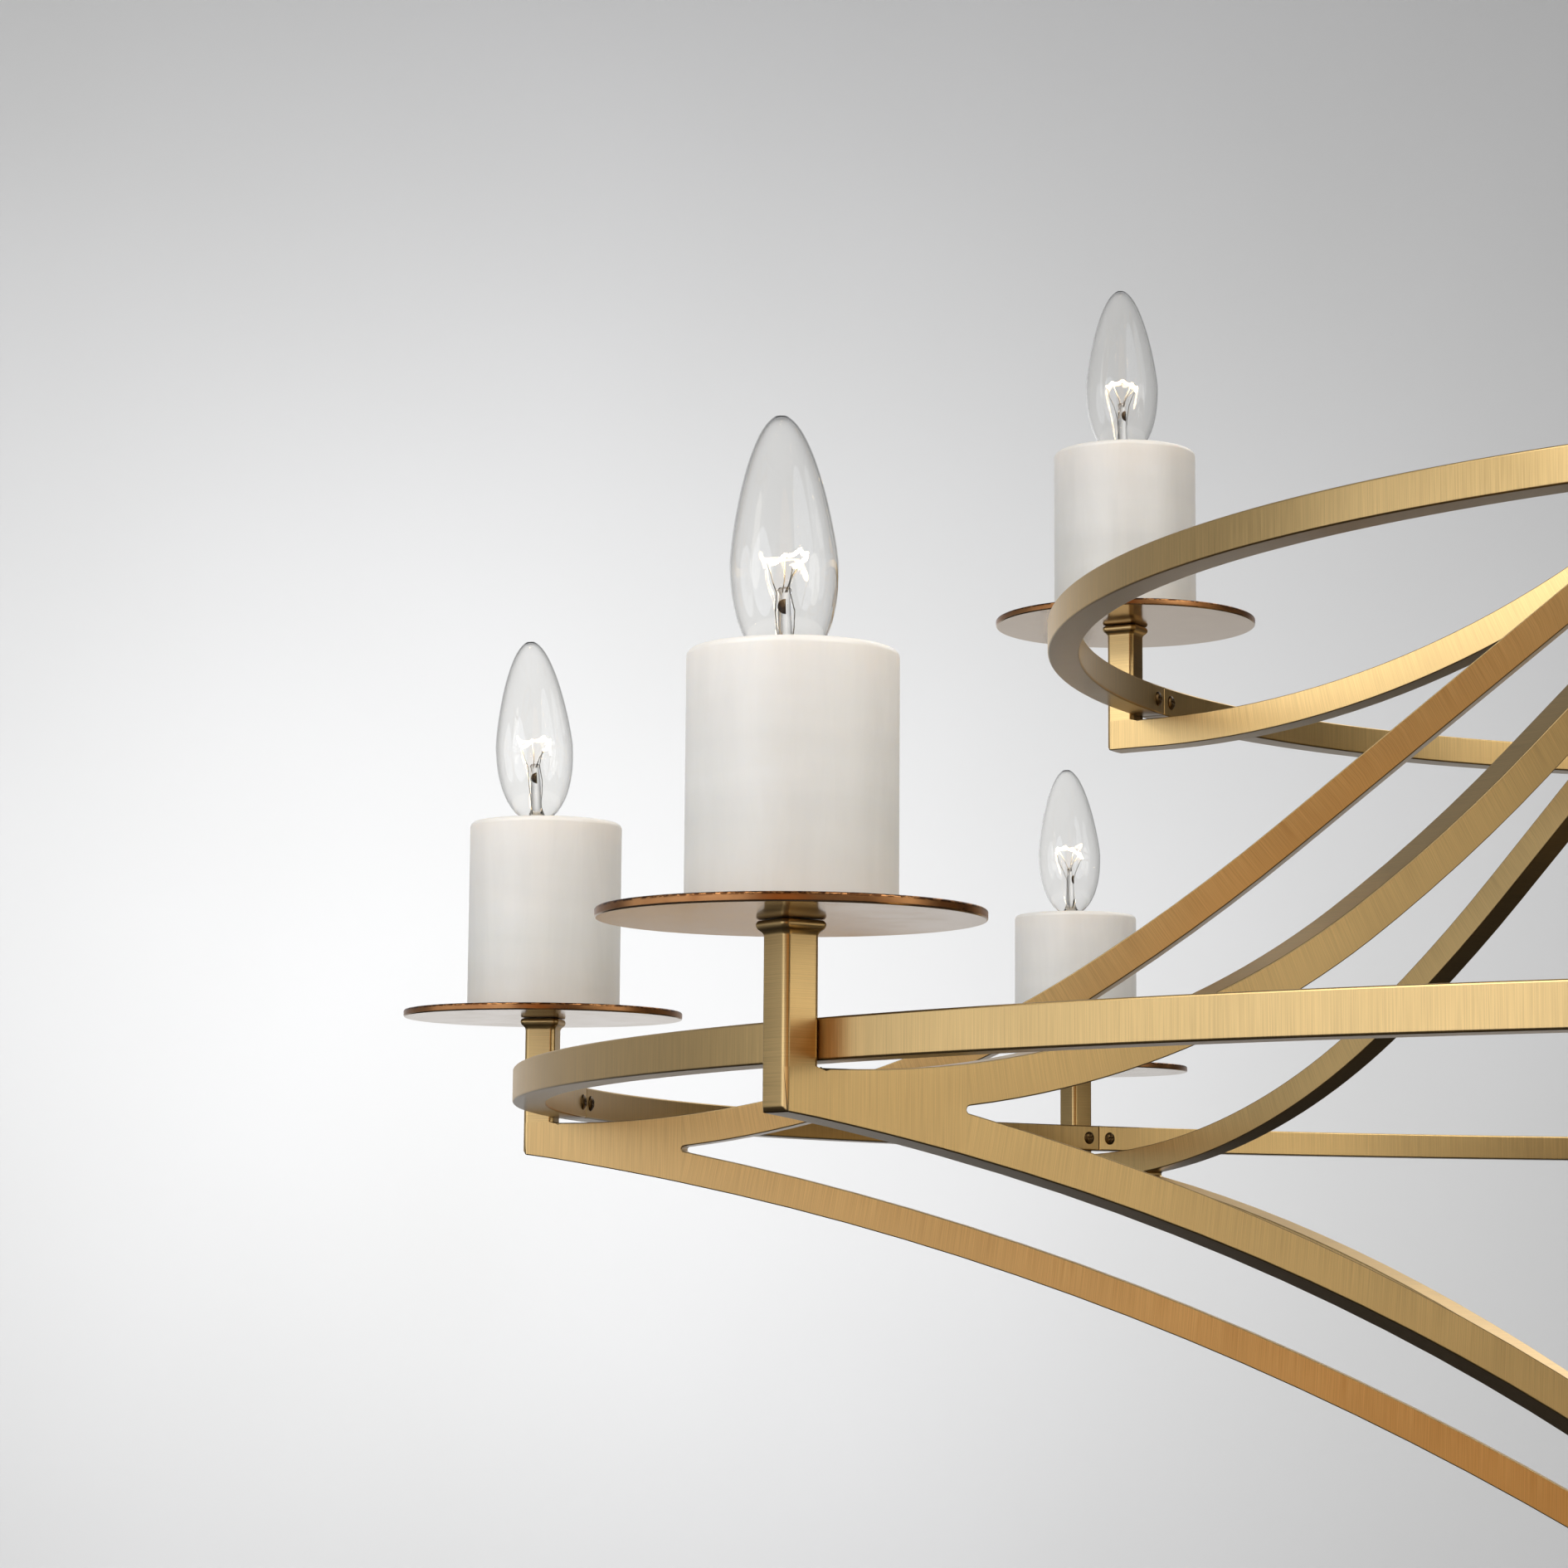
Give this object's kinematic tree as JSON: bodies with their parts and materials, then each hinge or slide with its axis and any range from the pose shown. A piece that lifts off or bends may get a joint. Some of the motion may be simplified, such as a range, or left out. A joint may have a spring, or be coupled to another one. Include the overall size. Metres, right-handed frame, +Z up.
{
  "type": "chandelier",
  "caption": "Two-tier ring chandelier of square brushed-brass bar with forked arms, stone candle sleeves and clear torpedo bulbs on a rod and swivel.",
  "frame": {"origin": "centre of the ceiling bracket's upper face, where it meets the ceiling", "axes": "+Z up, out of the bracket into the ceiling; the fixture hangs towards -Z; +X along the ceiling bracket and through one lower arm"},
  "size_m": [1.3488, 1.3488, 1.0897],
  "materials": {
    "brushed_brass": "brushed across the bar, warm aged brass, satin",
    "copper_brass": "satin underside, coppery rim with dark patina specks",
    "alabaster": "honed, warm white with faint upright veins",
    "bulb_glass": "clear blown glass, lit filament inside",
    "bracket_steel": "zinc plated"
  },
  "bodies": {
    "ceiling": {"ceiling_bracket": "bracket_steel", "canopy": "brushed_brass"},
    "swivel": {"swivel_cross": "brushed_brass"},
    "fixture": {"lower_arm_1": "brushed_brass", "lower_arm_2": "brushed_brass", "lower_arm_3": "brushed_brass", "lower_arm_4": "brushed_brass", "lower_arm_5": "brushed_brass", "lower_arm_6": "brushed_brass", "lower_arm_7": "brushed_brass", "lower_arm_8": "brushed_brass", "upper_arm_1": "brushed_brass", "upper_arm_2": "brushed_brass", "upper_arm_3": "brushed_brass", "upper_arm_4": "brushed_brass", "lower_ring_front": "brushed_brass", "lower_ring_back": "brushed_brass", "upper_ring_front": "brushed_brass", "upper_ring_back": "brushed_brass", "drip_pan_1": "copper_brass", "drip_pan_2": "copper_brass", "drip_pan_3": "copper_brass", "drip_pan_4": "copper_brass", "drip_pan_5": "copper_brass", "drip_pan_6": "copper_brass", "drip_pan_7": "copper_brass", "drip_pan_8": "copper_brass", "drip_pan_9": "copper_brass", "drip_pan_10": "copper_brass", "drip_pan_11": "copper_brass", "drip_pan_12": "copper_brass", "candle_sleeve_1": "alabaster", "candle_sleeve_2": "alabaster", "candle_sleeve_3": "alabaster", "candle_sleeve_4": "alabaster", "candle_sleeve_5": "alabaster", "candle_sleeve_6": "alabaster", "candle_sleeve_7": "alabaster", "candle_sleeve_8": "alabaster", "candle_sleeve_9": "alabaster", "candle_sleeve_10": "alabaster", "candle_sleeve_11": "alabaster", "candle_sleeve_12": "alabaster", "top_hub": "brushed_brass", "bottom_hub": "brushed_brass", "centre_column": "brushed_brass", "finial": "brushed_brass", "down_rod": "brushed_brass"},
    "lamp_1": {"bulb_1": "bulb_glass"},
    "lamp_2": {"bulb_2": "bulb_glass"},
    "lamp_3": {"bulb_3": "bulb_glass"},
    "lamp_4": {"bulb_4": "bulb_glass"},
    "lamp_5": {"bulb_5": "bulb_glass"},
    "lamp_6": {"bulb_6": "bulb_glass"},
    "lamp_7": {"bulb_7": "bulb_glass"},
    "lamp_8": {"bulb_8": "bulb_glass"},
    "lamp_9": {"bulb_9": "bulb_glass"},
    "lamp_10": {"bulb_10": "bulb_glass"},
    "lamp_11": {"bulb_11": "bulb_glass"},
    "lamp_12": {"bulb_12": "bulb_glass"}
  },
  "joints": [
    {"name": "swivel_tilt_x", "type": "hinge", "parent": "ceiling", "child": "swivel", "pos_m": [0, 0, -0.066], "axis": [1, 0, 0], "range_deg": [-15, 15]},
    {"name": "swivel_tilt_y", "type": "hinge", "parent": "swivel", "child": "fixture", "pos_m": [0, 0, -0.066], "axis": [0, 1, 0], "range_deg": [-15, 15]},
    {"name": "bulb_1_lift", "type": "slide", "parent": "fixture", "child": "lamp_1", "axis": [0, 0, 1], "range_m": [0, 0.03]},
    {"name": "bulb_2_lift", "type": "slide", "parent": "fixture", "child": "lamp_2", "axis": [0, 0, 1], "range_m": [0, 0.03]},
    {"name": "bulb_3_lift", "type": "slide", "parent": "fixture", "child": "lamp_3", "axis": [0, 0, 1], "range_m": [0, 0.03]},
    {"name": "bulb_4_lift", "type": "slide", "parent": "fixture", "child": "lamp_4", "axis": [0, 0, 1], "range_m": [0, 0.03]},
    {"name": "bulb_5_lift", "type": "slide", "parent": "fixture", "child": "lamp_5", "axis": [0, 0, 1], "range_m": [0, 0.03]},
    {"name": "bulb_6_lift", "type": "slide", "parent": "fixture", "child": "lamp_6", "axis": [0, 0, 1], "range_m": [0, 0.03]},
    {"name": "bulb_7_lift", "type": "slide", "parent": "fixture", "child": "lamp_7", "axis": [0, 0, 1], "range_m": [0, 0.03]},
    {"name": "bulb_8_lift", "type": "slide", "parent": "fixture", "child": "lamp_8", "axis": [0, 0, 1], "range_m": [0, 0.03]},
    {"name": "bulb_9_lift", "type": "slide", "parent": "fixture", "child": "lamp_9", "axis": [0, 0, 1], "range_m": [0, 0.03]},
    {"name": "bulb_10_lift", "type": "slide", "parent": "fixture", "child": "lamp_10", "axis": [0, 0, 1], "range_m": [0, 0.03]},
    {"name": "bulb_11_lift", "type": "slide", "parent": "fixture", "child": "lamp_11", "axis": [0, 0, 1], "range_m": [0, 0.03]},
    {"name": "bulb_12_lift", "type": "slide", "parent": "fixture", "child": "lamp_12", "axis": [0, 0, 1], "range_m": [0, 0.03]}
  ]
}
